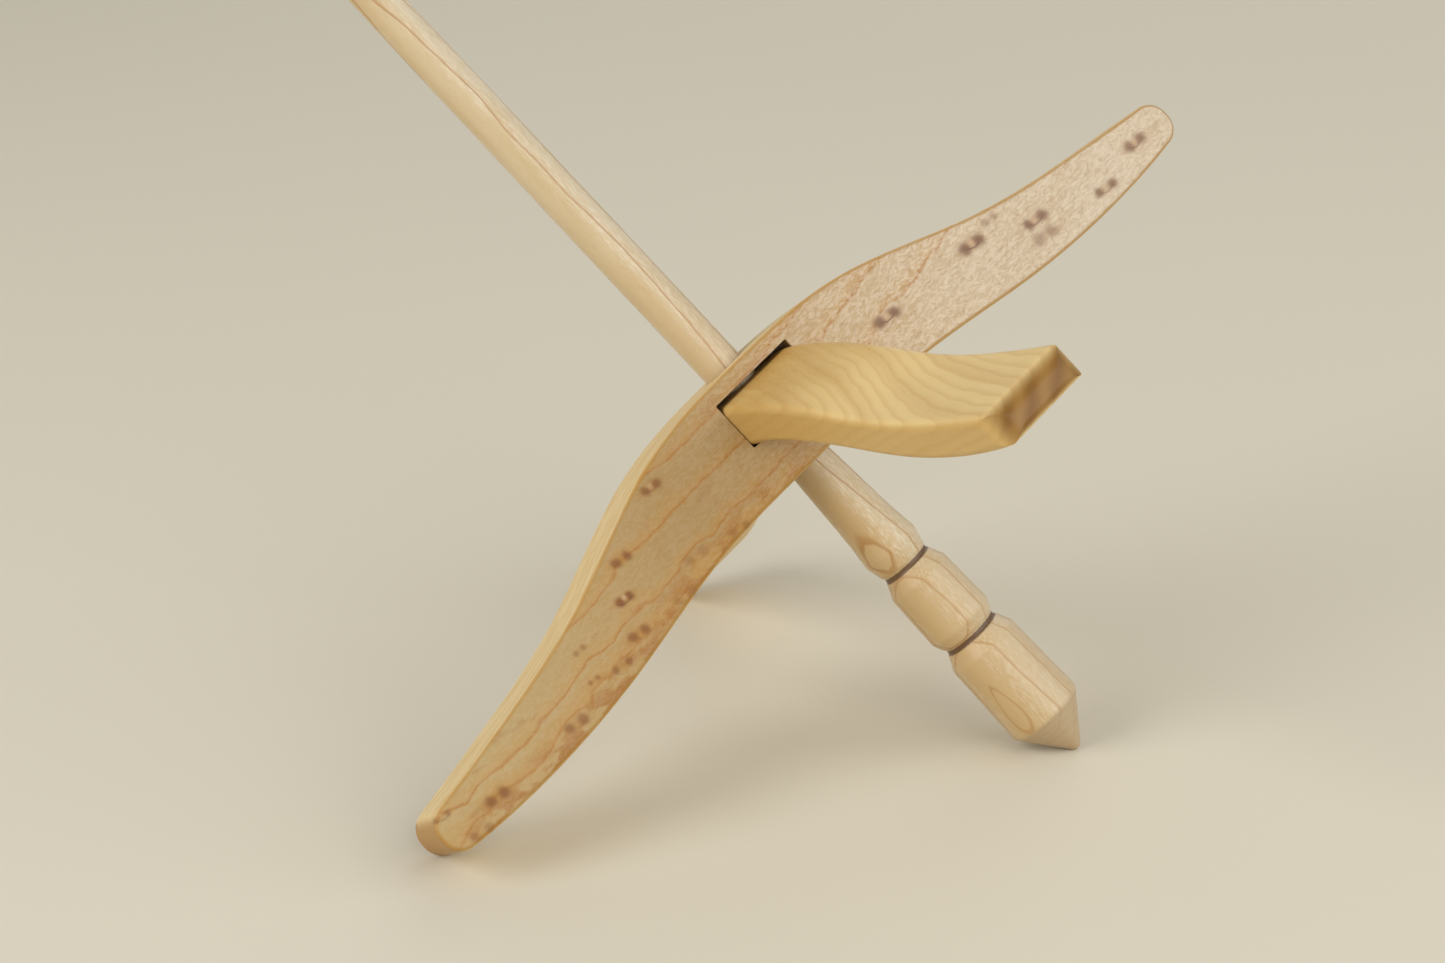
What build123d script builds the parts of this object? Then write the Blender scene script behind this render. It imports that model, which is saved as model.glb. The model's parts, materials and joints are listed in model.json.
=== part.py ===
"""A take-apart hand spindle: a turned shaft that locks two crossing wings together.

Lengths are millimetres. Each piece is drawn in the spindle's own frame first: the shaft
on the Z axis with its pointed foot down, the large wing along X, the small wing along Y,
and Z = 0 at the middle of the large wing's underside. The finished spindle is then laid
down on its three feet: the shaft's point, one tip of the large wing and one of the small.
"""
from build123d import *
import os

# Both wings are cut from the same stock, a little over half an inch wide.
WING_WIDTH = 13.1

# Large wing: heights at fractions of the half span, alike on both sides of the shaft.
# Tips are rounded by a larger radius above and a smaller one below.
LARGE_HALF_SPAN = 70.6
LARGE_TOP = ((0.0, 16.5), (0.25, 15.2), (0.55, 8.2), (0.8, 4.5), (1.0, 2.4))
LARGE_BOTTOM = ((0.0, 0.1), (0.25, -0.1), (0.55, -3.2), (0.8, -4.3), (1.0, -3.3))
LARGE_TIP_ROUNDING = (3.0, 2.8)
LARGE_EDGE_ROUNDING = 0.6

# Mortise: the window through the large wing that the small wing passes through.
MORTISE_FLOOR = 6.8
MORTISE_HEIGHT = 7.3
MORTISE_SIDE_CLEARANCE = 0.15
MORTISE_CORNER = 0.25

# Small wing: it droops further than the large one, is thinner, and has rounded corners
# where its ends meet its sides.
SMALL_HALF_SPAN = 66.9
SMALL_TOP = ((0.0, 13.6), (0.1, 13.2), (0.25, 11.15), (0.4, 7.9), (0.6, 2.5), (0.8, -1.05), (1.0, -3.5))
SMALL_BOTTOM = ((0.0, 6.95), (0.1, 6.9), (0.25, 5.0), (0.4, 1.75), (0.6, -3.3), (0.8, -6.6), (1.0, -7.9))
SMALL_TIP_ROUNDING = (2.4, 1.1)
SMALL_EDGE_ROUNDING = 1.0
SMALL_CORNER_ROUNDING = 3.0

# Shaft, from the top end down. Radii are paired with their heights as (radius, height).
SHAFT_TOP = 165.0
SHAFT_TOP_RADIUS = 2.1
SHAFT_BELLY = (2.75, 84.0)
YARN_NECK_BELOW_TOP = 5.0
YARN_NECK_RADIUS = 1.75
YARN_NECK_HALF_HEIGHT = 1.4
SEAT_TOP = (2.92, 16.8)
SEAT_BOTTOM = (3.15, -0.4)
FLARE = ((3.38, -4.0), (3.62, -8.8), (4.24, -15.6))
UPPER_GROOVE = ((3.72, -17.9), (3.5, -18.3), (3.5, -18.8), (3.8, -19.3))
BEAD = ((4.64, -21.2), (4.84, -29.1))
LOWER_GROOVE = ((4.25, -30.5), (3.98, -30.8), (3.98, -31.4), (4.3, -31.8))
FOOT = ((5.2, -33.7), (5.48, -45.8))
FOOT_NOSE = (0.85, -51.95)
FOOT_POINT = -52.4
RIDGE_ROUNDING = 1.2

# Bore: the seat's own taper, opened a little so that the wings run freely off the shaft.
BORE_CLEARANCE = 0.03
BORE_OVERSHOOT = 3.0
BORE_RIM = 0.3

# Laying the spindle down: a first guess at which way is up, then refinements of it.
UP_GUESS = (-0.5, 0.48, 0.72)
SETTLING_STEPS = 8
FOOT_TOLERANCE = 0.005


def mirrored(stations, half_span):
    """Turn (fraction, height) stations on one side into points from tip to tip."""
    right = [(fraction * half_span, height) for fraction, height in stations]
    left = [(-distance, height) for distance, height in reversed(right[1:])]
    return left + right


def wing_blank(plane, top, bottom, half_span, tip_rounding, edge_rounding):
    """A bar of wing stock, sawn to its drooping outline, with rounded tips and eased edges."""
    upper = Spline(*mirrored(top, half_span))
    lower = Spline(*mirrored(bottom, half_span))
    ends = Line(upper @ 0, lower @ 0) + Line(upper @ 1, lower @ 1)
    outline = make_face(upper + lower + ends)
    for edge, radius in zip((upper, lower), tip_rounding):
        tips = [outline.vertices().sort_by_distance(edge @ end)[0] for end in (0, 1)]
        outline = fillet(tips, radius)
    blank = extrude(plane * outline, amount=WING_WIDTH / 2, both=True)
    rims = [edge for edge in blank.edges() if abs(abs(edge.center().dot(plane.z_dir)) - WING_WIDTH / 2) < 0.01]
    return fillet(rims, edge_rounding)


def seat_radius(height):
    """The shaft's radius on the straight taper where the wings sit."""
    (top_radius, top_height), (bottom_radius, bottom_height) = SEAT_TOP, SEAT_BOTTOM
    slope = (top_radius - bottom_radius) / (top_height - bottom_height)
    return bottom_radius + slope * (height - bottom_height)


def bore(low, high):
    """The tapered hole that slides over the shaft's seat, with both rims eased."""
    ends = [
        (0, low - BORE_OVERSHOOT),
        (seat_radius(low) + BORE_CLEARANCE + BORE_RIM + BORE_OVERSHOOT, low - BORE_OVERSHOOT),
        (seat_radius(low) + BORE_CLEARANCE, low + BORE_RIM),
        (seat_radius(high) + BORE_CLEARANCE, high - BORE_RIM),
        (seat_radius(high) + BORE_CLEARANCE + BORE_RIM + BORE_OVERSHOOT, high + BORE_OVERSHOOT),
        (0, high + BORE_OVERSHOOT),
    ]
    return revolve(Plane.XZ * make_face(Polyline(*ends, close=True)), Axis.Z)


def large_wing():
    """The outer wing, with the window for the small wing and the bore for the shaft."""
    blank = wing_blank(
        Plane.XZ, LARGE_TOP, LARGE_BOTTOM, LARGE_HALF_SPAN, LARGE_TIP_ROUNDING, LARGE_EDGE_ROUNDING
    )
    window = RectangleRounded(WING_WIDTH + 2 * MORTISE_SIDE_CLEARANCE, MORTISE_HEIGHT, MORTISE_CORNER)
    window = Plane.XZ * Pos(0, MORTISE_FLOOR + MORTISE_HEIGHT / 2) * window
    mortise = extrude(window, amount=WING_WIDTH, both=True)
    return blank - mortise - bore(LARGE_BOTTOM[0][1], LARGE_TOP[0][1])


def small_wing():
    """The inner wing, which passes through the window and is pinned there by the shaft."""
    blank = wing_blank(
        Plane.YZ, SMALL_TOP, SMALL_BOTTOM, SMALL_HALF_SPAN, SMALL_TIP_ROUNDING, SMALL_EDGE_ROUNDING
    )
    plan = RectangleRounded(WING_WIDTH, 2 * SMALL_HALF_SPAN, SMALL_CORNER_ROUNDING)
    blank &= extrude(plan, amount=SMALL_HALF_SPAN, both=True)
    return blank - bore(SMALL_BOTTOM[0][1], SMALL_TOP[0][1])


def shaft():
    """The turned shaft: long taper, seat, flare, two grooves with a bead, pointed foot."""
    top_edge = (SHAFT_TOP_RADIUS, SHAFT_TOP - SHAFT_TOP_RADIUS)
    neck = SHAFT_TOP - YARN_NECK_BELOW_TOP
    neck_top = (SHAFT_TOP_RADIUS, neck + YARN_NECK_HALF_HEIGHT)
    neck_bottom = (SHAFT_TOP_RADIUS, neck - YARN_NECK_HALF_HEIGHT)
    nose_width, nose_rise = FOOT_NOSE[0], FOOT_NOSE[1] - FOOT_POINT
    nose_radius = (nose_width**2 + nose_rise**2) / (2 * nose_rise)
    profile = [
        RadiusArc((0, SHAFT_TOP), top_edge, SHAFT_TOP_RADIUS),
        Line(top_edge, neck_top),
        ThreePointArc(neck_top, (YARN_NECK_RADIUS, neck), neck_bottom),
        Spline(neck_bottom, SHAFT_BELLY, SEAT_TOP),
        Line(SEAT_TOP, SEAT_BOTTOM),
        Spline(SEAT_BOTTOM, *FLARE),
        Polyline(FLARE[-1], *UPPER_GROOVE, *BEAD, *LOWER_GROOVE, *FOOT, FOOT_NOSE),
        RadiusArc(FOOT_NOSE, (0, FOOT_POINT), nose_radius),
        Line((0, FOOT_POINT), (0, SHAFT_TOP)),
    ]
    half = make_face(Curve() + profile)
    ridges = [half.vertices().sort_by_distance(corner)[0] for corner in (FLARE[-1], *BEAD, *FOOT)]
    return revolve(Plane.XZ * fillet(ridges, RIDGE_ROUNDING), Axis.Z)


def foot_of(piece, up):
    """The point of a piece that reaches furthest down, for a given way up."""
    corners, _ = piece.tessellate(FOOT_TOLERANCE)
    return min(corners, key=up.dot)


def table_under(pieces):
    """The plane that touches each of the three pieces once, with the rest above it."""
    up = Vector(*UP_GUESS).normalized()
    for _ in range(SETTLING_STEPS):
        feet = [foot_of(piece, up) for piece in pieces]
        across = (feet[1] - feet[0]).cross(feet[2] - feet[0]).normalized()
        up = across if across.Z > 0 else -across
    lean = Vector(0, 0, 1) - up * up.Z
    return Plane(origin=feet[0], x_dir=lean, z_dir=up)


def laid_down(pieces):
    """Lay the spindle on its feet, with the origin under the middle of its bounds."""
    table = table_under(list(pieces.values()))
    rested = {name: table.to_local_coords(piece) for name, piece in pieces.items()}
    bounds = Compound(children=[Solid(piece.wrapped) for piece in rested.values()]).bounding_box()
    centre = Pos(-bounds.center().X, -bounds.center().Y, -bounds.min.Z)
    return {name: centre * piece for name, piece in rested.items()}


os.makedirs("parts", exist_ok=True)
spindle = laid_down({"shaft": shaft(), "large_wing": large_wing(), "small_wing": small_wing()})
for node, piece in spindle.items():
    export_step(piece, f"parts/{node}.step")
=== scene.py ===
"""Looks of the take-apart spindle: bird's-eye maple wings on a paler turned shaft.

The CAD nodes have the right shapes, so they stay, and each gets a procedural wood. All
three woods are worked out in the spindle's own frame, in millimetres: Z runs up the shaft
from the large wing's underside, X along the large wing, and Y along the small wing.

The settings below come in a few kinds. Each is named after what it is for.
    Colour: linear red, green and blue.
    Paint: how strongly it covers, from 0 to 1, and its colour.
    Span: where something starts along a measure, and where it has fully come in or gone.
    Change: a span, and the two values that something eases between along it.
    Scale: how fine a noise is along X, Y and Z. Larger is finer.
    Figure: a scale, and the span of the noise over which the figure appears.
    Drift: a scale, how many millimetres the noise moves the layers, and its detail.
"""

import json
import math

import bpy
from mathutils import Matrix, Vector

MM = 0.001

# Further than any bird's eye or growth line, in millimetres.
FAR_AWAY = 99.0

# Where the spindle's own frame lies in the row's frame, and its axes by number.
LEADER_HITCH_HEIGHT = 160 * MM
LARGE_WING_AXIS = Vector((0.53817, 0.68669, -0.48870))
X_AXIS = 0
Y_AXIS = 1

# Inputs and output of Blender's mix node for each kind of data, and the detail and
# roughness of the noise that fine strokes come from.
MIX_SOCKETS = {"VECTOR": (4, 5, 1), "RGBA": (6, 7, 2)}
STROKE_NOISE = (3.0, 0.6)
MIDDLE_OF_NOISE = (0.5, 0.5, 0.5)

# Camera, at the photograph's viewing angle: metres, degrees and millimetres.
CAMERA_LOCATION = (-0.11724, 0.33901, 0.16213)
CAMERA_ROTATION = (70.206, 2.604, -165.335)
CAMERA_LENS = 70.18
SENSOR_WIDTH = 36.0

# Studio, in metres. The round lights all face one target.
FLOOR_HALF_SIZE = 4.0
FLOOR_COLOUR = (0.71, 0.665, 0.545)
FLOOR_DARKER = 0.985
FLOOR_CLOUDS = (9.0, 9.0, 9.0)
FLOOR_DETAIL = 3.0
FLOOR_ROUGHNESS = 0.9
FLOOR_SPECULAR = 0.1
WORLD_COLOUR = (1.0, 0.985, 0.96)
WORLD_STRENGTH = 0.35
LIGHT_TARGET = (0.0, 0.0, 0.03)
LIGHT_SIZE = 0.9
LIGHT_COLOUR = (1.0, 0.985, 0.96)
LIGHTS = (
    # name, location, watts
    ("Left softbox", (0.75, 0.75, 0.6), 8.7),
    ("Right softbox", (-0.75, 0.75, 0.6), 5.6),
    ("Side fill", (-1.0, 0.0, 0.6), 3.2),
    ("Backdrop light", (0.0, -1.0, 0.7), 2.15),
)

# Large wing: tones from its pale rippled tip to its honey-brown tip, and where they meet. The darker stop
# at 0.64, beside the small wing, is partly the wood's tone and partly painted shade of the small wing.
LARGE_WING_LENGTH = 142.0
LARGE_WING_TONES_AND_SHADE = (
    (0.00, (0.575, 0.475, 0.340)),
    (0.22, (0.545, 0.440, 0.305)),
    (0.38, (0.490, 0.355, 0.200)),
    (0.50, (0.430, 0.290, 0.120)),
    # Partly the wood's tone, partly painted shade of the small wing.
    (0.64, (0.365, 0.230, 0.075)),
    (0.77, (0.410, 0.272, 0.098)),
    (0.87, (0.430, 0.300, 0.118)),
    (1.00, (0.440, 0.305, 0.120)),
)
PALE_HALF_FADES = (-30.0, 20.0)
BROAD_FIGURE = ((0.07, 0.2, 0.24), (0.36, 0.66))
BROAD_PAINT = (0.20, (0.42, 0.25, 0.10))

# Large wing's growth layers: how they drift, slope and bend, how high they lie, and the
# change in their height around a bird's eye, over which they arch.
LARGE_WING_SWAY = ((0.06, 0.06, 0.10), 1.6, 2.0)
LARGE_WING_WAVER = ((0.30, 0.30, 0.45), 1.0, 1.0)
LAYER_RISE_ALONG = 0.04
LAYER_BEND_RIPPLED = 0.13
LAYER_RISE_ACROSS = 0.9
LAYER_OFFSET = -7.2
LAYER_ARCH = (0.3, 4.4, -1.1, 0.0)

# Growth lines, as heights among those layers, with the widths of the sharp side below each
# and the soft side above it. On the rippled half of the front face only the upper ones show,
# and they fade out towards its tip. On the back face all of them show.
LARGE_WING_LINES = (-17.0, -13.4, -9.0, -5.6, 0.2, 3.3, 8.9, 13.9, 18.2)
LINES_FADE = (-40.0, -31.0)
RIPPLED_HALF_ENDS = (-6.0, 4.0)
LOWEST_RIPPLED_LINE = (1.4, 2.4)
BACK_FACE = (-5.0, 5.0)
GLOW_WIDTHS = (0.45, 2.6)
GLOW_PAINT = (0.40, (0.46, 0.225, 0.026))
LINE_WIDTHS = (0.22, 0.42)
LINE_PAINT = (0.58, (0.34, 0.120, 0.004))

# The warmer wood on the brown half, below one of the growth lines. It thins out towards the
# tip.
WARM_LAYERS = (1.6, 3.3)
WARM_STARTS = (-3.0, 5.0)
WARM_THINS = (22.0, 44.0, 0.42, 0.16)
WARM_COLOUR = (0.44, 0.225, 0.030)

# Orange patches along the underside, which drops between two places along the wing, and
# the freckles that show more towards the brown tip.
UNDERSIDE_DROP = (12.0, 55.0, 0.0, -4.2)
PATCHES_ABOVE_UNDERSIDE = (0.5, 4.2)
PATCHES_START = (-4.0, 12.0)
MOTTLE_SCALE = (0.22, 0.3, 0.45)
MOTTLE_DETAIL = 3.0
PATCH_MOTTLE = (0.44, 0.56)
PATCH_PAINT = (0.88, (0.33, 0.130, 0.006))
FRECKLE_MOTTLE = (0.58, 0.70)
FRECKLE_STRENGTH = (-35.0, 5.0, 0.35, 0.5)
FRECKLE_COLOUR = (0.35, 0.185, 0.05)

# Ripples of the large wing: fine strokes that waver, and the smaller wavering of its eyes,
# in millimetres. A strength is what the pale half adds, and what shows everywhere. The pale
# strokes are partly figure and partly painted sheen. The dark strokes are partly figure and
# partly painted shade.
WANDER_SCALE = (0.5, 0.5, 0.5)
EYE_WANDER = (0.7, 0.0, 0.7)
STROKE_WANDER = (2.2, 0.0, 1.8)
BRIGHT_FIGURE = ((1.2, 2.5, 3.2), (0.35, 0.65))
BRIGHT_STRENGTH = (0.45, 0.09)
BRIGHT_FIGURE_AND_SHEEN_COLOUR = (0.72, 0.61, 0.47)
DARK_FIGURE = ((1.4, 2.8, 3.8), (0.50, 0.68))
DARK_STRENGTH = (0.24, 0.08)
DARK_FIGURE_AND_SHADE_COLOUR = (0.33, 0.19, 0.09)

# Large wing's narrow faces, tips and rims. The spans are of how squarely a surface faces.
NARROW_FACING = (0.45, 0.93)
NARROW_STRENGTH = 0.88
NARROW_FIGURE = ((0.10, 1.6, 0.6), (0.3, 0.7))
NARROW_COLOURS = ((0.69, 0.46, 0.165), (0.84, 0.67, 0.370))
TIP_FACING = (0.35, 0.85)
TIP_PLACE = (62.0, 66.0)
TIP_PAINT = (1.0, (0.42, 0.228, 0.062))
RIM_FACING = (0.15, 0.60)
RIM_INNER_FACING = (0.90, 0.985)
RIM_STRENGTH = (0.0, 1.0, 0.55, 0.70)
RIM_COLOUR = (0.40, 0.205, 0.040)

# Walls of the mortise, darkened away from the wing's faces: painted shade deep in the mortise.
MORTISE_SIDE = (6.9, 7.1)
MORTISE_TOP = (14.2, 14.3)
MORTISE_DEPTH = (5.9, 6.4)
MORTISE_SHADE_PAINT = (0.7, (0.12, 0.06, 0.022))

LARGE_WING_ROUGHNESS = (0.0, 0.4, 0.47, 0.38)
LARGE_WING_BUMP = 0.012
WING_SPECULAR = 0.35

# Bird's eyes of the large wing. Each is two dots side by side along the grain: its place
# along the wing and up it, half the gap, and a dot's radius, in millimetres, then how dark
# the dots are and how strong the crease that joins them is, from 0 to 1.
BIRDS_EYES = (
    (-63.7, -0.2, 1.05, 0.85, 0.85, 0.80),
    (-55.8, -1.8, 1.25, 0.75, 0.90, 0.60),
    (-44.7, 1.9, 1.25, 0.85, 0.95, 0.80),
    (-44.3, -0.5, 1.10, 0.95, 0.55, 0.00),
    (-39.7, 6.4, 0.85, 0.60, 0.45, 0.30),
    (-35.4, 5.6, 1.15, 0.95, 1.00, 1.00),
    (-19.2, 6.7, 1.30, 0.90, 1.00, 1.00),
    (15.6, 0.8, 1.10, 0.70, 0.45, 0.00),
    (20.4, 12.6, 0.95, 0.75, 0.85, 0.60),
    (22.3, 2.3, 1.10, 0.80, 0.35, 0.00),
    (27.0, -0.4, 1.10, 0.80, 0.35, 0.00),
    (29.8, 8.7, 0.85, 0.65, 0.90, 0.00),
    (33.0, 4.8, 0.75, 0.65, 1.00, 0.90),
    (34.7, 0.5, 1.00, 0.75, 0.85, 0.00),
    (39.1, -0.9, 1.05, 0.55, 0.75, 0.00),
    (41.8, 4.3, 0.60, 0.45, 0.50, 0.00),
    (43.1, 0.4, 0.60, 0.40, 0.60, 0.00),
    (48.5, -1.9, 1.00, 0.75, 0.75, 0.30),
    (62.0, -1.3, 1.05, 0.85, 0.90, 0.00),
    (66.3, -3.0, 1.05, 0.70, 0.50, 0.00),
    (68.6, 1.8, 0.90, 0.45, 0.60, 0.80),
)

# The eyes tilt a little and show only on the two wide faces. Their colours change where the
# pale half and the brown half meet.
EYE_TILT = 0.15
EYE_FACES = (4.6, 6.0)
EYE_HALVES_MEET = (-4.0, 4.0)

# Marks of a bird's eye: how many times narrower and flatter each is than a dot's radius, and
# how crisp its edge is. The bead sits above the middle, where the crease is strong. It is
# partly the eye's pale centre and partly a painted highlight.
EYE_TAIL = (0.36, 1.05, 1.1)
EYE_DOT = (1.087, 1.033, 1.7)
EYE_BEAD = (2.0, 2.0, 1.5)
EYE_BEAD_RISE = 0.2
EYE_BEAD_CREASE = (0.2, 0.8)

# The crease between the two dots hangs like a smile: its curve, its lowest point, its
# half thickness and where its ends fade.
CREASE_CURVE = 0.28
CREASE_LOWEST = -0.5
CREASE_THICKNESS = (0.02, 0.20)
CREASE_ENDS = (0.6, 1.6)

# Strengths of the marks, and colours on the brown half and on the pale half.
TAIL_STRENGTH = 0.70
TAIL_COLOURS = ((0.37, 0.160, 0.010), (0.38, 0.235, 0.125))
DOT_STRENGTH = 0.86
DOT_COLOURS = ((0.190, 0.055, 0.002), (0.18, 0.085, 0.042))
# The bead is partly the eye's pale centre and partly a painted highlight.
BEAD_AND_HIGHLIGHT_PAINT = (0.72, (0.54, 0.36, 0.21))
CREASE_PAINT = (0.62, (0.12, 0.035, 0.016))

# Small wing: layers that slope across it, in fine and strong lines. A set of lines is its
# spacing, and the parts of that spacing in which each line rises and falls.
SMALL_WING_DRIFT = ((0.10, 0.04, 0.10), 3.0, 2.0)
SMALL_WING_WAVER = ((0.30, 0.12, 0.30), 0.9, 1.0)
SMALL_WING_SLOPE = 0.93
FINE_LINES = (1.55, 0.50, 0.14)
FINE_PAINT = (0.25, (0.50, 0.250, 0.035))
STRONG_LINES = (5.8, 0.50, 0.12)
STRONG_PAINT = (0.20, (0.44, 0.200, 0.025))
SMALL_WING_FIGURE = ((0.2, 0.05, 0.2), (0.35, 0.65))
SMALL_WING_COLOURS = ((0.56, 0.340, 0.093), (0.62, 0.405, 0.135))
OUTER_PLACE = (14.0, 38.0)
OUTER_PAINT = (0.75, (0.84, 0.640, 0.300))
SMALL_STROKE_FIGURE = ((4.5, 0.9, 4.5), (0.35, 0.65))
SMALL_STROKE_PAINT = (0.12, (0.76, 0.58, 0.30))
SIDE_FACING = (0.5, 0.95)
SIDE_STRENGTH = 0.80
SIDE_COLOUR = (0.57, 0.365, 0.122)
SIDE_LINE_PAINT = (0.12, (0.40, 0.22, 0.050))
END_FACING = (0.25, 0.95)
END_PLACE = (60.0, 65.0)
END_BAND = 3.9
END_COLOURS = ((0.290, 0.150, 0.032), (0.205, 0.092, 0.014))
SMALL_WING_ROUGHNESS = (0.0, 1.0, 0.45, 0.37)
SMALL_WING_BUMP = 0.005

# Shaft: the direction across its layers and the one along them, seen from its end, and its
# thin growth lines with the glow beside them.
ACROSS_LAYERS = (0.82, 0.57, 0.0)
ALONG_LAYERS = (-0.57, 0.82, 0.0)
SHAFT_DRIFT = ((0.03, 0.03, 0.016), 6.0, 1.0)
SHAFT_WAVER = ((0.15, 0.15, 0.09), 0.8, 1.0)
SHAFT_LINES = (2.6, 0.10, 0.04)
SHAFT_LINE_PAINT = (0.62, (0.36, 0.155, 0.028))
SHAFT_GLOW = (2.6, 0.60, 0.10)
SHAFT_GLOW_PAINT = (0.16, (0.46, 0.27, 0.09))
SHAFT_FIGURE = ((0.3, 0.3, 0.05), (0.35, 0.65))
SHAFT_COLOURS = ((0.59, 0.475, 0.300), (0.64, 0.540, 0.375))

# Shaft's two flat-grained sides are browner, more so on the foot, and the two between
# them have ray flecks. The brown is partly the grain and partly painted shade on the shaded
# side. The whitish flecks are partly rays and partly a painted highlight on the lit side.
FLAT_FACING = (0.45, 1.0)
FLAT_GRAIN_AND_SHADE_STRENGTH = (-20.0, 30.0, 0.60, 0.30)
FLAT_GRAIN_AND_SHADE_COLOUR = (0.50, 0.310, 0.100)
RAY_AND_HIGHLIGHT_SIDE = (0.8, 2.6)
RAY_FIGURE = ((4.5, 4.5, 0.8), (0.40, 0.70))
RAY_FLECK_AND_HIGHLIGHT_PAINT = (0.38, (0.84, 0.77, 0.64))
PORE_FIGURE = ((5.5, 5.5, 0.7), (0.52, 0.74))
PORE_PAINT = (0.20, (0.38, 0.22, 0.08))

# The loop on the shaft's foot: the height of its middle, its half length and half width, and
# how much its half width grows with each millimetre down. Its line is part of its radius.
FOOT_LOOP = (-41.6, 3.9, 1.15, 0.12)
FOOT_LOOP_LINE = (0.03, 0.16)

# Foot, burnt rings and the end cone with its lathe marks.
FOOT_BEGINS = (-20.0, -16.0)
FOOT_PAINT = (0.35, (0.50, 0.345, 0.165))
RING_HEIGHTS = (-18.63, -31.18)
RING_HALF_WIDTH = (0.25, 0.46)
RING_RAGGED = ((3.0, 3.0, 3.0), 0.16, 2.0)
RING_PAINT = (0.92, (0.100, 0.046, 0.018))
CONE_BEGINS = (-46.4, -45.6)
CONE_STRENGTH = 0.75
LATHE_FIGURE = ((0.1, 0.1, 2.2), (0.3, 0.7))
CONE_COLOURS = ((0.445, 0.325, 0.195), (0.480, 0.360, 0.225))
SHAFT_ROUGHNESS = (0.0, 1.0, 0.42, 0.34)
SHAFT_BUMP = -0.003
SHAFT_SPECULAR = 0.4


class Graph:
    """A material's node tree, with short calls for the nodes that a wood is made of."""

    def __init__(self, name):
        self.material = bpy.data.materials.new(name)
        self.material.use_nodes = True
        self.tree = self.material.node_tree
        self.tree.nodes.clear()

    def node(self, kind, inputs, **settings):
        """Add a node, set its properties, and link or set its inputs, by number or name."""
        made = self.tree.nodes.new(kind)
        for key, value in settings.items():
            setattr(made, key, value)
        for key, value in inputs.items():
            if isinstance(value, bpy.types.NodeSocket):
                self.tree.links.new(value, made.inputs[key])
            else:
                made.inputs[key].default_value = value
        return made

    def math(self, operation, *values):
        return self.node("ShaderNodeMath", dict(enumerate(values)), operation=operation).outputs[0]

    def total(self, *values):
        """The sum of several numbers."""
        result = values[0]
        for value in values[1:]:
            result = self.math("ADD", result, value)
        return result

    def product(self, *values):
        """The product of several numbers."""
        result = values[0]
        for value in values[1:]:
            result = self.math("MULTIPLY", result, value)
        return result

    def size(self, value):
        """A number without its sign."""
        return self.math("ABSOLUTE", value)

    def vector(self, operation, *values):
        """Vector maths. The result is a number for a dot product or a length."""
        made = self.node("ShaderNodeVectorMath", dict(enumerate(values)), operation=operation)
        return made.outputs[1 if operation in ("DOT_PRODUCT", "LENGTH") else 0]

    def scaled(self, a, scale):
        return self.vector("MULTIPLY", a, scale)

    def xyz(self, a):
        return self.node("ShaderNodeSeparateXYZ", {0: a}).outputs

    def smooth(self, value, low, high, to_low=0.0, to_high=1.0):
        """Ease from one value to another as the input goes from low to high."""
        limits = {0: value, 1: low, 2: high, 3: to_low, 4: to_high}
        return self.node("ShaderNodeMapRange", limits, interpolation_type="SMOOTHSTEP").outputs[0]

    def fade(self, value, low, high):
        """Ease from 1 to 0 as the input goes from low to high."""
        return self.smooth(value, low, high, 1.0, 0.0)

    def noise(self, vector, detail=2.0, roughness=0.5, output=0):
        """Noise about 1 mm across, from 0 to 1, or as a colour for output 1."""
        inputs = {"Vector": vector, "Scale": 1.0, "Detail": detail, "Roughness": roughness}
        return self.node("ShaderNodeTexNoise", inputs).outputs[output]

    def patches(self, point, figure):
        """Soft patches of a figure, from 0 to 1."""
        scale, span = figure
        return self.smooth(self.noise(self.scaled(point, scale)), *span)

    def strokes(self, point, figure):
        """Fine strokes of a figure, from 0 to 1."""
        scale, span = figure
        return self.smooth(self.noise(self.scaled(point, scale), *STROKE_NOISE), *span)

    def drift(self, point, scale, distance, detail):
        """How far slow noise moves the layers of the wood, in millimetres."""
        return self.product(self.noise(self.scaled(point, scale), detail), distance)

    def lines(self, height, spacing, rise, fall):
        """Growth lines at a regular spacing, from 0 to 1. Rise and fall are parts of it."""
        through = self.math("FRACT", self.math("DIVIDE", height, spacing))
        risen = self.smooth(through, 1.0 - rise - fall, 1.0 - fall)
        return self.product(risen, self.fade(through, 1.0 - fall, 1.0))

    def either(self, data_type, factor, a, b):
        """Mix two values of a kind that Blender's mix node has."""
        first, second, result = MIX_SOCKETS[data_type]
        made = self.node("ShaderNodeMix", {0: factor, first: a, second: b}, data_type=data_type)
        return made.outputs[result]

    def mix(self, factor, a, b):
        """Mix two colours, each a socket or three numbers."""
        return self.either("RGBA", factor, opaque(a), opaque(b))

    def paint(self, colour, cover, strength, new_colour):
        """Lay a new colour over another where it covers, from 0 to 1."""
        return self.mix(self.product(cover, strength), colour, new_colour)

    def ramp(self, value, stops):
        """Colours at stops along a value from 0 to 1."""
        made = self.node("ShaderNodeValToRGB", {0: value})
        points = made.color_ramp.elements
        while len(points) < len(stops):
            points.new(0.5)
        for point, (position, colour) in zip(points, stops):
            point.position = position
            point.color = opaque(colour)
        return made.outputs[0]

    def bumped(self, height, depth):
        """The normal of a surface with bumps this many millimetres high, or sunk if negative."""
        inputs = {"Height": height, "Strength": 1.0, "Distance": depth * MM}
        return self.node("ShaderNodeBump", inputs).outputs[0]

    def finish(self, inputs):
        """Close the tree with a shader that has these inputs."""
        shader = self.node("ShaderNodeBsdfPrincipled", inputs)
        self.node("ShaderNodeOutputMaterial", {"Surface": shader.outputs[0]})
        return self.material


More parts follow.
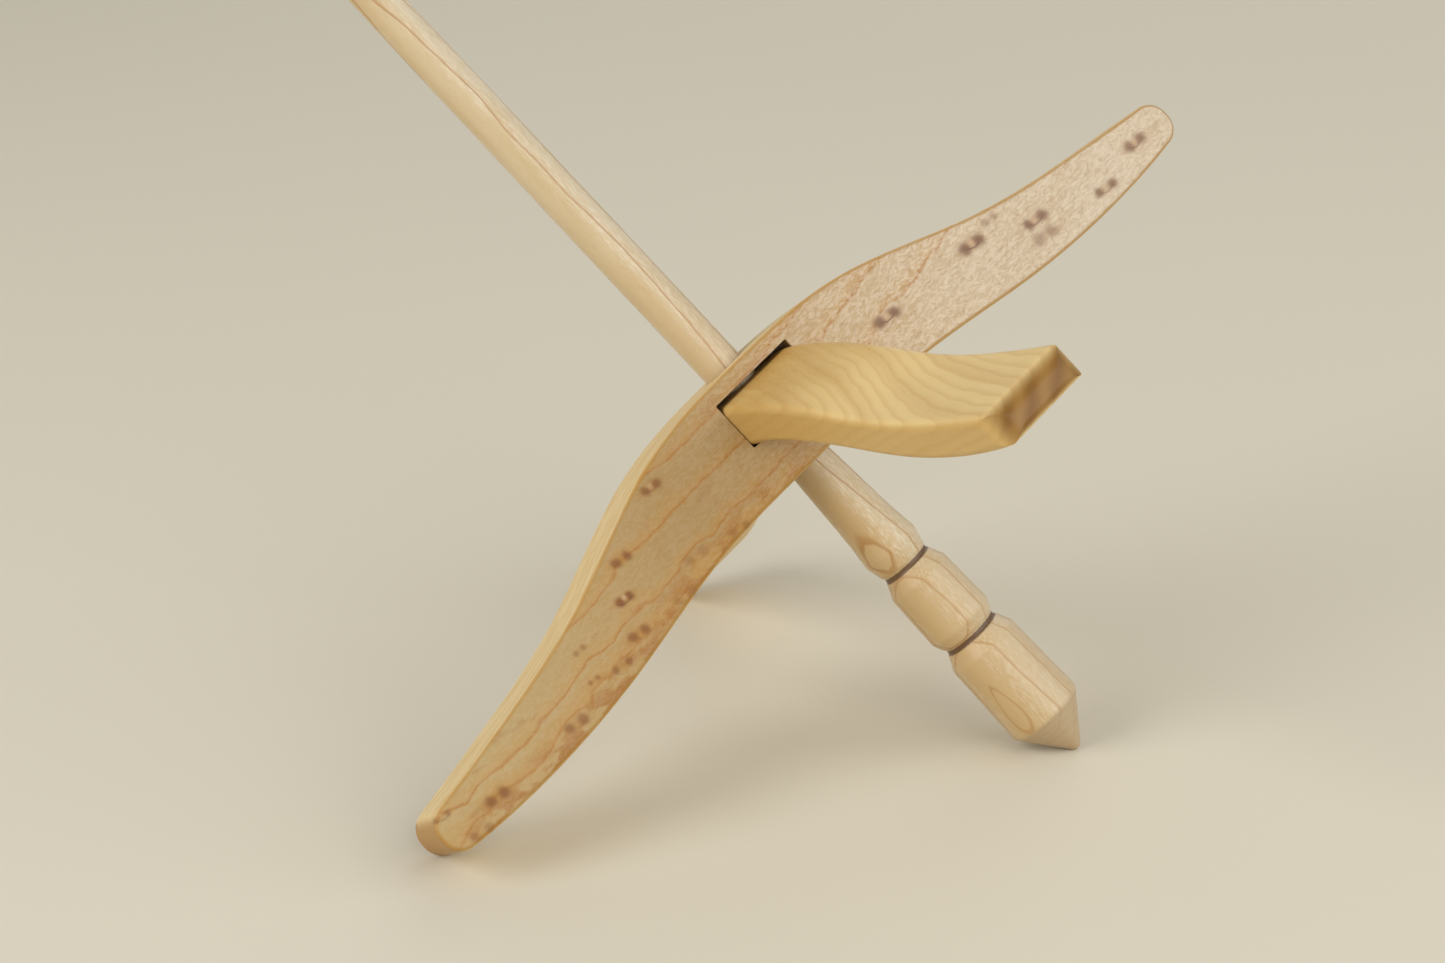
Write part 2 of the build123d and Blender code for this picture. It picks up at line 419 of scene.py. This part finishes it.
class Wood(Graph):
    """The node tree of a wood, laid out in the spindle's own frame."""

    def __init__(self, name, placed):
        super().__init__(name)
        self.placed = placed

    def point(self):
        """The shaded point in the spindle's own frame, in millimetres."""
        inputs = {
            "Vector": self.node("ShaderNodeTexCoord", {}).outputs["Object"],
            "Location": self.placed.translation,
            "Rotation": self.placed.to_euler(),
            "Scale": (MM, MM, MM),
        }
        return self.node("ShaderNodeMapping", inputs, vector_type="TEXTURE").outputs[0]

    def facing(self, axis):
        """How squarely the surface faces along one of the spindle's axes, from 0 to 1."""
        normal = self.node("ShaderNodeTexCoord", {}).outputs["Normal"]
        direction = self.placed.col[axis].to_3d()
        return self.size(self.vector("DOT_PRODUCT", normal, direction))

    def polish(self, colour, roughness, bumps, specular):
        """Close the tree as an oiled wood."""
        inputs = {"Base Color": colour, "Roughness": roughness, "Normal": bumps}
        return self.finish({**inputs, "Specular IOR Level": specular})


def opaque(colour):
    """A colour as the nodes want it: a socket as it is, or three numbers and full cover."""
    return colour if isinstance(colour, bpy.types.NodeSocket) else (*colour, 1.0)


def spindle_frame(record):
    """The spindle's origin and axes in the row's frame, as a matrix."""
    hitch = next(mount for mount in record["mounts"] if mount["name"] == "leader_hitch")
    up = Vector(hitch["axis"]).normalized()
    along = (LARGE_WING_AXIS - up * LARGE_WING_AXIS.dot(up)).normalized()
    axes = Matrix((along, up.cross(along), up)).transposed().to_4x4()
    return Matrix.Translation(Vector(hitch["pos_m"]) - up * LEADER_HITCH_HEIGHT) @ axes


def nearest_birds_eye(wood, point):
    """The offset from the nearest bird's eye, its traits, its crease, and its distance.

    The traits are its half gap, radius and darkness.
    """
    offset = (FAR_AWAY, 0.0, FAR_AWAY)
    traits = (1.0, 1.0, 0.0)
    crease = (0.0, 0.0, 0.0)
    nearest = FAR_AWAY
    for along, up, half_gap, radius, darkness, joined in BIRDS_EYES:
        away = wood.scaled(wood.vector("SUBTRACT", point, (along, 0.0, up)), (1.0, 0.0, 1.0))
        distance = wood.vector("LENGTH", away)
        closer = wood.math("LESS_THAN", distance, nearest)
        offset = wood.either("VECTOR", closer, offset, away)
        traits = wood.either("VECTOR", closer, traits, (half_gap, radius, darkness))
        crease = wood.either("VECTOR", closer, crease, (joined, 0.0, 0.0))
        nearest = wood.math("MINIMUM", distance, nearest)
    return offset, traits, wood.xyz(crease)[0], nearest


def blob(wood, across, up, radius, mark):
    """A round mark of a bird's eye, from 1 at its middle to 0 outside."""
    narrow, flat, crispness = mark
    wide = wood.math("DIVIDE", wood.product(across, narrow), radius)
    tall = wood.math("DIVIDE", wood.product(up, flat), radius)
    squared = wood.total(wood.product(wide, wide), wood.product(tall, tall))
    return wood.math("EXPONENT", wood.product(wood.math("POWER", squared, crispness), -1.0))


def eye_crease(wood, across, rise):
    """The crease that hangs between the two dots of a bird's eye, from 0 to 1."""
    smile = wood.math("MULTIPLY_ADD", wood.product(across, across), CREASE_CURVE, CREASE_LOWEST)
    line = wood.fade(wood.size(wood.math("SUBTRACT", rise, smile)), *CREASE_THICKNESS)
    return wood.product(line, wood.fade(wood.size(across), *CREASE_ENDS))


def shade_birds_eyes(wood, colour, point, eye):
    """Paint the bird's eyes: soft tails, two brown dots, a pale bead that is partly a painted highlight,
    and a fine crease.
    """
    offset, traits, crease, _ = eye
    x, y, _ = wood.xyz(point)
    gap, radius, darkness = wood.xyz(traits)
    darkness = wood.product(darkness, wood.smooth(wood.size(y), *EYE_FACES))
    across, _, rise = wood.xyz(offset)
    rise = wood.math("MULTIPLY_ADD", across, -EYE_TILT, rise)
    out = wood.size(across)

    tail = blob(wood, out, rise, radius, EYE_TAIL)
    dot = blob(wood, wood.math("SUBTRACT", out, gap), rise, radius, EYE_DOT)
    bead = blob(wood, out, wood.math("SUBTRACT", rise, EYE_BEAD_RISE), radius, EYE_BEAD)
    bead_and_highlight = wood.product(bead, darkness, wood.smooth(crease, *EYE_BEAD_CREASE))
    seam = wood.product(eye_crease(wood, across, rise), crease, darkness)

    pale_half = wood.fade(x, *EYE_HALVES_MEET)
    soft = wood.mix(pale_half, *TAIL_COLOURS)
    brown = wood.mix(pale_half, *DOT_COLOURS)
    colour = wood.paint(colour, wood.product(tail, darkness), TAIL_STRENGTH, soft)
    colour = wood.paint(colour, wood.product(dot, darkness), DOT_STRENGTH, brown)
    colour = wood.paint(colour, bead_and_highlight, *BEAD_AND_HIGHLIGHT_PAINT)
    return wood.paint(colour, seam, *CREASE_PAINT)


def large_wing_base(wood, point):
    """The large wing's tones from tip to tip, with broad browner patches, and a darker band beside the
    small wing that is partly painted shade.
    """
    along = wood.math("MULTIPLY_ADD", wood.xyz(point)[0], 1 / LARGE_WING_LENGTH, 0.5)
    colour = wood.ramp(along, LARGE_WING_TONES_AND_SHADE)
    return wood.paint(colour, wood.patches(point, BROAD_FIGURE), *BROAD_PAINT)


def large_wing_growth(wood, point, near_eye):
    """How high each point lies among the layers of the wood, which arch over a bird's eye."""
    x, y, z = wood.xyz(point)
    return wood.total(
        z,
        wood.product(x, LAYER_RISE_ALONG),
        wood.product(wood.math("MINIMUM", x, 0.0), LAYER_BEND_RIPPLED),
        wood.math("MULTIPLY_ADD", y, LAYER_RISE_ACROSS, LAYER_OFFSET),
        wood.drift(point, *LARGE_WING_SWAY),
        wood.drift(point, *LARGE_WING_WAVER),
        wood.smooth(near_eye, *LAYER_ARCH),
    )


def large_wing_lines(wood, height, sharp, soft):
    """The large wing's growth lines, from 0 to 1, sharp below each line and soft above it."""
    nearest = FAR_AWAY
    for line in LARGE_WING_LINES:
        above = wood.math("SUBTRACT", height, line)
        fall = wood.math("MAXIMUM", wood.product(above, -1.0), wood.product(above, sharp / soft))
        nearest = wood.math("MINIMUM", fall, nearest)
    return wood.fade(nearest, 0.0, sharp)


def paint_growth(wood, colour, point, height):
    """Add the growth lines and the warmer wood below one of them."""
    x, y, _ = wood.xyz(point)
    upper = wood.product(wood.smooth(x, *LINES_FADE), wood.smooth(height, *LOWEST_RIPPLED_LINE))
    elsewhere = wood.math("MAXIMUM", upper, wood.fade(y, *BACK_FACE))
    lined = wood.math("MAXIMUM", wood.smooth(x, *RIPPLED_HALF_ENDS), elsewhere)
    glow = wood.product(large_wing_lines(wood, height, *GLOW_WIDTHS), lined)
    line = wood.product(large_wing_lines(wood, height, *LINE_WIDTHS), lined)
    colour = wood.paint(colour, glow, *GLOW_PAINT)
    colour = wood.paint(colour, line, *LINE_PAINT)
    beneath = wood.product(wood.fade(height, *WARM_LAYERS), wood.smooth(x, *WARM_STARTS))
    return wood.paint(colour, beneath, wood.smooth(x, *WARM_THINS), WARM_COLOUR)


def paint_mottle(wood, colour, point):
    """Add the orange patches along the underside, and the freckles."""
    x, _, z = wood.xyz(point)
    above = wood.math("SUBTRACT", z, wood.smooth(x, *UNDERSIDE_DROP))
    low = wood.product(wood.fade(above, *PATCHES_ABOVE_UNDERSIDE), wood.smooth(x, *PATCHES_START))
    mottle = wood.noise(wood.scaled(point, MOTTLE_SCALE), MOTTLE_DETAIL)
    patch = wood.product(low, wood.smooth(mottle, *PATCH_MOTTLE))
    colour = wood.paint(colour, patch, *PATCH_PAINT)
    freckle = wood.smooth(mottle, *FRECKLE_MOTTLE)
    return wood.paint(colour, freckle, wood.smooth(x, *FRECKLE_STRENGTH), FRECKLE_COLOUR)


def ripples(wood, point, pale, figure, strength):
    """Fine strokes that are stronger on the pale half: the figure, with its shimmer painted in as sheen
    and shade.
    """
    shown = wood.math("MULTIPLY_ADD", pale, *strength)
    return wood.product(wood.strokes(point, figure), shown)


def paint_edges(wood, colour, point, pale):
    """Add the honey narrow faces, the darker tips and the ochre rims."""
    along = wood.size(wood.xyz(point)[0])
    turned = wood.facing(Y_AXIS)
    honey = wood.mix(wood.strokes(point, NARROW_FIGURE), *NARROW_COLOURS)
    colour = wood.paint(colour, wood.fade(turned, *NARROW_FACING), NARROW_STRENGTH, honey)
    tip = wood.product(wood.smooth(wood.facing(X_AXIS), *TIP_FACING), wood.smooth(along, *TIP_PLACE))
    colour = wood.paint(colour, tip, *TIP_PAINT)
    rim = wood.product(wood.smooth(turned, *RIM_FACING), wood.fade(turned, *RIM_INNER_FACING))
    return wood.paint(colour, rim, wood.smooth(pale, *RIM_STRENGTH), RIM_COLOUR)


def mortise_shade_mask(wood, point):
    """Where painted shade falls, deep on the walls of the mortise, from 0 to 1."""
    x, y, z = wood.xyz(point)
    beside = wood.fade(wood.size(x), *MORTISE_SIDE)
    below = wood.fade(z, *MORTISE_TOP)
    return wood.product(beside, below, wood.fade(wood.size(y), *MORTISE_DEPTH))


def large_wing_maple(placed):
    """Bird's-eye maple: honey brown at one end, pale and rippled at the other, with ochre rims."""
    wood = Wood("large_wing_birdseye_maple", placed)
    point = wood.point()
    wander = wood.noise(wood.scaled(point, WANDER_SCALE), output=1)
    wander = wood.vector("SUBTRACT", wander, MIDDLE_OF_NOISE)
    eye = nearest_birds_eye(wood, wood.vector("ADD", point, wood.scaled(wander, EYE_WANDER)))
    pale = wood.fade(wood.xyz(point)[0], *PALE_HALF_FADES)

    colour = large_wing_base(wood, point)
    height = large_wing_growth(wood, point, eye[-1])
    colour = paint_growth(wood, colour, point, height)
    colour = paint_mottle(wood, colour, point)

    waved = wood.vector("ADD", point, wood.scaled(wander, STROKE_WANDER))
    bright = ripples(wood, waved, pale, BRIGHT_FIGURE, BRIGHT_STRENGTH)
    dark = ripples(wood, waved, pale, DARK_FIGURE, DARK_STRENGTH)
    # Pale strokes: partly figure, partly painted sheen. Dark strokes: partly figure, partly painted
    # shade.
    colour = wood.mix(bright, colour, BRIGHT_FIGURE_AND_SHEEN_COLOUR)
    colour = wood.mix(dark, colour, DARK_FIGURE_AND_SHADE_COLOUR)

    colour = paint_edges(wood, colour, point, pale)
    colour = shade_birds_eyes(wood, colour, point, eye)
    # Painted shade deep on the walls of the mortise.
    colour = wood.paint(colour, mortise_shade_mask(wood, point), *MORTISE_SHADE_PAINT)
    bumps = wood.bumped(wood.math("SUBTRACT", bright, dark), LARGE_WING_BUMP)
    return wood.polish(colour, wood.smooth(bright, *LARGE_WING_ROUGHNESS), bumps, WING_SPECULAR)


def small_wing_end(wood, point, height):
    """Where the small wing's end grain shows, from 0 to 1, and its banded colour."""
    faced = wood.smooth(wood.facing(Y_AXIS), *END_FACING)
    end = wood.product(faced, wood.smooth(wood.size(wood.xyz(point)[1]), *END_PLACE))
    wave = wood.math("SINE", wood.product(height, 2 * math.pi / END_BAND))
    band = wood.math("MULTIPLY_ADD", wave, 0.5, 0.5)
    return end, wood.mix(band, *END_COLOURS)


def small_wing_maple(placed):
    """Honey maple, sawn so that its layers come out as long soft waves on the top face."""
    wood = Wood("small_wing_honey_maple", placed)
    point = wood.point()
    x, y, z = wood.xyz(point)
    drifts = [wood.drift(point, *drift) for drift in (SMALL_WING_DRIFT, SMALL_WING_WAVER)]
    height = wood.total(wood.product(x, SMALL_WING_SLOPE), z, *drifts)
    fine = wood.lines(height, *FINE_LINES)

    colour = wood.mix(wood.patches(point, SMALL_WING_FIGURE), *SMALL_WING_COLOURS)
    colour = wood.paint(colour, wood.smooth(wood.size(y), *OUTER_PLACE), *OUTER_PAINT)
    colour = wood.paint(colour, fine, *FINE_PAINT)
    colour = wood.paint(colour, wood.lines(height, *STRONG_LINES), *STRONG_PAINT)
    stroke = wood.strokes(point, SMALL_STROKE_FIGURE)
    colour = wood.paint(colour, stroke, *SMALL_STROKE_PAINT)

    side = wood.smooth(wood.facing(X_AXIS), *SIDE_FACING)
    colour = wood.paint(colour, side, SIDE_STRENGTH, wood.paint(SIDE_COLOUR, fine, *SIDE_LINE_PAINT))
    end, end_colour = small_wing_end(wood, point, height)
    colour = wood.mix(end, colour, end_colour)
    bumps = wood.bumped(stroke, SMALL_WING_BUMP)
    return wood.polish(colour, wood.smooth(stroke, *SMALL_WING_ROUGHNESS), bumps, WING_SPECULAR)


def foot_loop(wood, point):
    """A layer cut through on the foot's flat-grained side, as a drop-shaped loop from 0 to 1."""
    middle, half_length, half_width, flare = FOOT_LOOP
    along = wood.math("SUBTRACT", wood.xyz(point)[2], middle)
    width = wood.math("MULTIPLY_ADD", along, -flare, half_width)
    beside = wood.math("DIVIDE", wood.vector("DOT_PRODUCT", point, ALONG_LAYERS), width)
    lengthwise = wood.math("DIVIDE", along, half_length)
    squared = wood.total(wood.product(beside, beside), wood.product(lengthwise, lengthwise))
    off_line = wood.size(wood.math("SUBTRACT", wood.math("SQRT", squared), 1.0))
    near_side = wood.math("GREATER_THAN", wood.vector("DOT_PRODUCT", point, ACROSS_LAYERS), 0.0)
    return wood.product(wood.fade(off_line, *FOOT_LOOP_LINE), near_side)


def shaft_growth(wood, point):
    """The shaft's growth lines and the glow beside them, each from 0 to 1."""
    drifts = [wood.drift(point, *drift) for drift in (SHAFT_DRIFT, SHAFT_WAVER)]
    height = wood.total(wood.vector("DOT_PRODUCT", point, ACROSS_LAYERS), *drifts)
    return wood.lines(height, *SHAFT_LINES), wood.lines(height, *SHAFT_GLOW)


def flat_grain_and_shade(wood, point):
    """How much of the browner flat grain shows, on two sides of the shaft; partly painted shade."""
    radial = wood.vector("NORMALIZE", wood.scaled(point, (1.0, 1.0, 0.0)))
    faced = wood.size(wood.vector("DOT_PRODUCT", radial, ACROSS_LAYERS))
    return wood.product(wood.smooth(faced, *FLAT_FACING), wood.smooth(wood.xyz(point)[2], *FLAT_GRAIN_AND_SHADE_STRENGTH))


def burnt_rings(wood, point):
    """The two burnt rings, with slightly ragged edges, from 0 to 1."""
    ragged = wood.total(wood.drift(point, *RING_RAGGED), wood.xyz(point)[2])
    rings = 0.0
    for middle in RING_HEIGHTS:
        away = wood.size(wood.math("SUBTRACT", ragged, middle))
        rings = wood.math("MAXIMUM", wood.fade(away, *RING_HALF_WIDTH), rings)
    return rings


def shaft_maple(placed):
    """Pale turned maple, with ray flecks on two sides and two burnt rings. The browner flat grain is
    partly painted shade, and the whitish ray flecks partly a painted highlight.
    """
    wood = Wood("shaft_cream_maple", placed)
    point = wood.point()
    z = wood.xyz(point)[2]
    line, glow = shaft_growth(wood, point)
    # Ray flecks, whitened as partly a painted highlight on the lit side.
    ray_and_highlight_side = wood.smooth(wood.size(wood.vector("DOT_PRODUCT", point, ALONG_LAYERS)), *RAY_AND_HIGHLIGHT_SIDE)
    rays_and_highlight = wood.product(ray_and_highlight_side, wood.strokes(point, RAY_FIGURE))
    pores = wood.strokes(point, PORE_FIGURE)

    colour = wood.mix(wood.patches(point, SHAFT_FIGURE), *SHAFT_COLOURS)
    # Browner flat grain, partly painted shade on the shaded side.
    colour = wood.mix(flat_grain_and_shade(wood, point), colour, FLAT_GRAIN_AND_SHADE_COLOUR)
    colour = wood.paint(colour, glow, *SHAFT_GLOW_PAINT)
    # Whitish ray flecks: partly rays, partly a painted highlight.
    colour = wood.paint(colour, rays_and_highlight, *RAY_FLECK_AND_HIGHLIGHT_PAINT)
    colour = wood.paint(colour, pores, *PORE_PAINT)
    line = wood.math("MAXIMUM", line, foot_loop(wood, point))
    colour = wood.paint(colour, line, *SHAFT_LINE_PAINT)
    colour = wood.paint(colour, wood.fade(z, *FOOT_BEGINS), *FOOT_PAINT)
    colour = wood.paint(colour, burnt_rings(wood, point), *RING_PAINT)
    turned = wood.mix(wood.patches(point, LATHE_FIGURE), *CONE_COLOURS)
    colour = wood.paint(colour, wood.fade(z, *CONE_BEGINS), CONE_STRENGTH, turned)
    bumps = wood.bumped(pores, SHAFT_BUMP)
    return wood.polish(colour, wood.smooth(rays_and_highlight, *SHAFT_ROUGHNESS), bumps, SHAFT_SPECULAR)


def floor_material():
    """A plain pale studio floor, with the faintest of clouds."""
    graph = Graph("pale_floor")
    place = graph.node("ShaderNodeTexCoord", {}).outputs["Object"]
    clouds = graph.noise(graph.scaled(place, FLOOR_CLOUDS), FLOOR_DETAIL)
    darker = [FLOOR_DARKER * channel for channel in FLOOR_COLOUR]
    colour = graph.mix(clouds, FLOOR_COLOUR, darker)
    inputs = {"Base Color": colour, "Roughness": FLOOR_ROUGHNESS}
    return graph.finish({**inputs, "Specular IOR Level": FLOOR_SPECULAR})


def add_floor():
    half = FLOOR_HALF_SIZE
    corners = [(-half, -half, 0), (half, -half, 0), (half, half, 0), (-half, half, 0)]
    mesh = bpy.data.meshes.new("floor")
    mesh.from_pydata(corners, [], [(0, 1, 2, 3)])
    mesh.materials.append(floor_material())
    floor = bpy.data.objects.new("floor", mesh)
    bpy.context.scene.collection.objects.link(floor)


def add_light(name, location, watts):
    lamp = bpy.data.lights.new(name, "AREA")
    lamp.shape = "DISK"
    lamp.size = LIGHT_SIZE
    lamp.energy = watts
    lamp.color = LIGHT_COLOUR
    placed = bpy.data.objects.new(name, lamp)
    placed.location = location
    placed.rotation_euler = (Vector(LIGHT_TARGET) - Vector(location)).to_track_quat("-Z", "Y").to_euler()
    bpy.context.scene.collection.objects.link(placed)


def add_world():
    world = bpy.data.worlds.new("studio")
    bpy.context.scene.world = world
    world.use_nodes = True
    background = world.node_tree.nodes["Background"]
    background.inputs["Color"].default_value = (*WORLD_COLOUR, 1.0)
    background.inputs["Strength"].default_value = WORLD_STRENGTH


def add_camera():
    lens = bpy.data.cameras.new("camera")
    lens.lens = CAMERA_LENS
    lens.sensor_width = SENSOR_WIDTH
    camera = bpy.data.objects.new("camera", lens)
    camera.location = CAMERA_LOCATION
    camera.rotation_euler = [math.radians(angle) for angle in CAMERA_ROTATION]
    bpy.context.scene.collection.objects.link(camera)
    bpy.context.scene.camera = camera


def dress(node, material):
    """Give a CAD node its wood."""
    node.data.materials.clear()
    node.data.materials.append(material)


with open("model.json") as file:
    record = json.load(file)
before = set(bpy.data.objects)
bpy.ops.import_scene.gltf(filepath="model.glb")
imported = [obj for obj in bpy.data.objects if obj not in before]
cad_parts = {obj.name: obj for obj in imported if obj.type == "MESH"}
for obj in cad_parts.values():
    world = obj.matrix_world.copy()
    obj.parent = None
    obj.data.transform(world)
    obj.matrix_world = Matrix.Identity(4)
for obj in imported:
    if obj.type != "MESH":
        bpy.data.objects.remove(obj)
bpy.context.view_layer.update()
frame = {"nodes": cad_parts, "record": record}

spindle = spindle_frame(frame["record"])
dress(frame["nodes"]["large_wing"], large_wing_maple(spindle))
dress(frame["nodes"]["small_wing"], small_wing_maple(spindle))
dress(frame["nodes"]["shaft"], shaft_maple(spindle))

add_floor()
add_world()
for light in LIGHTS:
    add_light(*light)
add_camera()
bpy.context.scene.view_settings.view_transform = "Standard"
